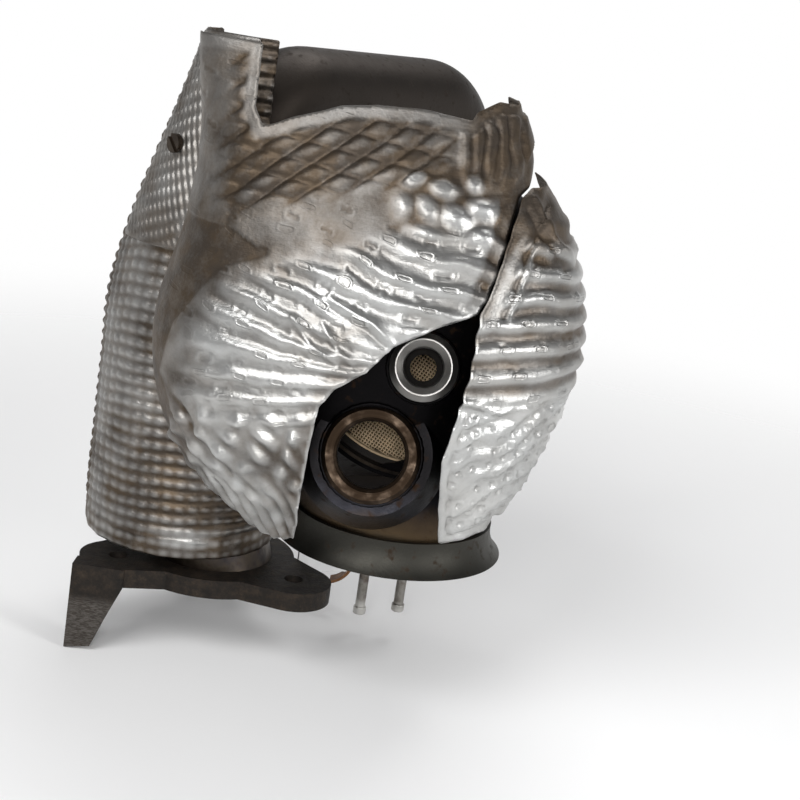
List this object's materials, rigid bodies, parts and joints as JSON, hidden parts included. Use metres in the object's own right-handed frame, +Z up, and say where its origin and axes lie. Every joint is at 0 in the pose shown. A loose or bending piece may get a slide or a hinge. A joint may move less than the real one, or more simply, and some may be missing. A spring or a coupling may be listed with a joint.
{
  "type": "catalytic converter",
  "caption": "Close-coupled catalytic converter with two bricks in steel cans, embossed heat shields, sensor ports and a cast flange.",
  "frame": {"origin": "centre of the outlet flare's open rim", "axes": "+Z up along the outlet's axis, -Y towards the side with the two sensor ports"},
  "size_m": [0.2197, 0.2624, 0.287],
  "materials": {
    "shield_aluminium": "embossed, creased and heat stained",
    "plain_aluminium": "plain sheet, bright",
    "dark_steel": "heat blackened with brown and gold tints",
    "can_steel": "dull stainless, heat browned",
    "port_steel": "turned, oxidised brown",
    "boss_steel": "turned, polished",
    "cast_iron": "as cast, rusty brown",
    "pipe_steel": "drawn tube",
    "brown_strip": "rusty strip",
    "brick_ceramic": "coated honeycomb ceramic",
    "mat_fibre": "swelling fibre mat"
  },
  "bodies": {
    "root": {"front_shield": "shield_aluminium", "side_shield": "shield_aluminium", "column_shield": "shield_aluminium", "column_rear_shield": "shield_aluminium", "neck_shield": "shield_aluminium", "rear_shield": "shield_aluminium", "lower_shield": "plain_aluminium", "chamber_shell": "dark_steel", "chamber_back": "dark_steel", "outlet_flare": "dark_steel", "large_port": "port_steel", "sensor_boss": "boss_steel", "main_can": "can_steel", "main_mat": "mat_fibre", "main_brick": "brick_ceramic", "flow_baffle": "dark_steel", "rear_cone": "can_steel", "transfer_duct": "can_steel", "column_can": "can_steel", "column_mat": "mat_fibre", "column_brick": "brick_ceramic", "column_top_cone": "can_steel", "column_bottom_cone": "can_steel", "inlet_flange": "cast_iron", "pressure_pipe_front": "pipe_steel", "pressure_pipe_rear": "pipe_steel", "pipe_clip": "brown_strip", "support_strap": "brown_strip", "neck_clip": "can_steel", "front_standoffs": "can_steel", "side_standoffs": "can_steel", "rear_standoffs": "can_steel", "column_standoffs": "can_steel"}
  },
  "joints": []
}
